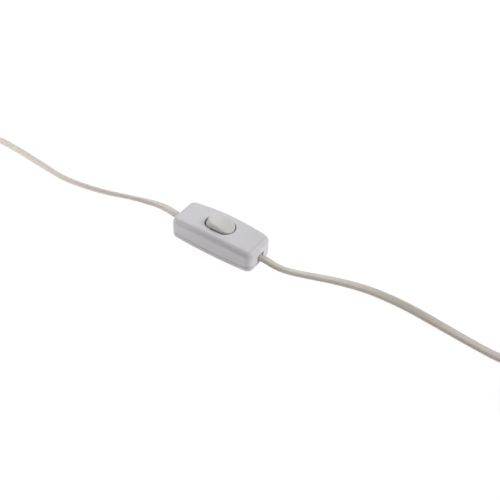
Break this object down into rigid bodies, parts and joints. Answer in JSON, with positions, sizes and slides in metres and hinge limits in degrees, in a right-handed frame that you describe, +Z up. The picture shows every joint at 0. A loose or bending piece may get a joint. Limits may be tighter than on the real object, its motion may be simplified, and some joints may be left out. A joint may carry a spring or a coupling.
{
  "type": "lamp cord with switch",
  "caption": "In-line rocker switch in a crowned, round-cornered plastic housing on a flat lamp cord, with a flat plug on its supply end and stripped leads on its lamp end.",
  "frame": {"origin": "middle of the switch housing's underside", "axes": "+X along the housing towards the plug, +Z up through the rocker"},
  "size_m": [0.705, 0.0369, 0.021],
  "materials": {
    "housing": "satin moulded, very fine grain",
    "rocker": "satin moulded",
    "insulator": "smooth moulded",
    "spring_steel": "bright drawn wire",
    "screw_steel": "zinc plated",
    "strip_brass": "stamped",
    "contact_metal": "silver alloy",
    "clamp_plastic": "moulded",
    "copper": "bright stranded copper",
    "line_insulation": "smooth extruded",
    "neutral_insulation": "smooth extruded",
    "cord_sheath": "satin extruded sheath",
    "tie_band": "satin band",
    "plug_plastic": "satin moulded",
    "pin_metal": "nickel plated",
    "pin_sleeve": "moulded sleeve"
  },
  "bodies": {
    "switch": {"base": "housing", "top_cover": "housing", "cover_screws": "screw_steel", "terminal_screws": "screw_steel", "connector_screws": "screw_steel", "clamp_screws": "screw_steel", "pivot_terminal": "strip_brass", "fixed_terminal": "strip_brass", "neutral_connector": "strip_brass", "fixed_contact": "contact_metal", "supply_clamp": "clamp_plastic", "lamp_clamp": "clamp_plastic", "bare_conductors": "copper", "lead_tips": "copper", "supply_line_core": "line_insulation", "lamp_line_core": "line_insulation", "lamp_line_lead": "line_insulation", "supply_neutral_core": "neutral_insulation", "lamp_neutral_core": "neutral_insulation", "lamp_neutral_lead": "neutral_insulation", "supply_cord": "cord_sheath", "supply_hank": "cord_sheath", "supply_tail": "cord_sheath", "lamp_cord": "cord_sheath", "lamp_hank": "cord_sheath", "lamp_tail": "cord_sheath", "supply_tie": "tie_band", "lamp_tie": "tie_band", "plug_body": "plug_plastic", "plug_pins": "pin_metal", "pin_sleeves": "pin_sleeve"},
    "rocker": {"rocker": "rocker", "plunger_spring": "spring_steel"},
    "plunger": {"plunger": "insulator"},
    "lever": {"contact_lever": "strip_brass", "moving_contact": "contact_metal"}
  },
  "joints": [
    {"name": "rocker_tilt", "type": "hinge", "parent": "switch", "child": "rocker", "pos_m": [0, 0, 0.0134], "axis": [0, -1, 0], "range_deg": [0, 26]},
    {"name": "plunger_slide", "type": "slide", "parent": "rocker", "child": "plunger", "axis": [0.225, 0, 0.9744], "range_m": [0, 0.0008], "stiffness_N_per_m": 300, "springref_m": -0.003, "deforming": ["plunger_spring"]},
    {"name": "lever_tilt", "type": "hinge", "parent": "switch", "child": "lever", "pos_m": [0, 0, 0.00515], "axis": [0, 1, 0], "range_deg": [0, 12]}
  ],
  "couplings": [
    {"joint": "lever_tilt", "follows": "rocker_tilt", "ratio": 0.46154}
  ]
}
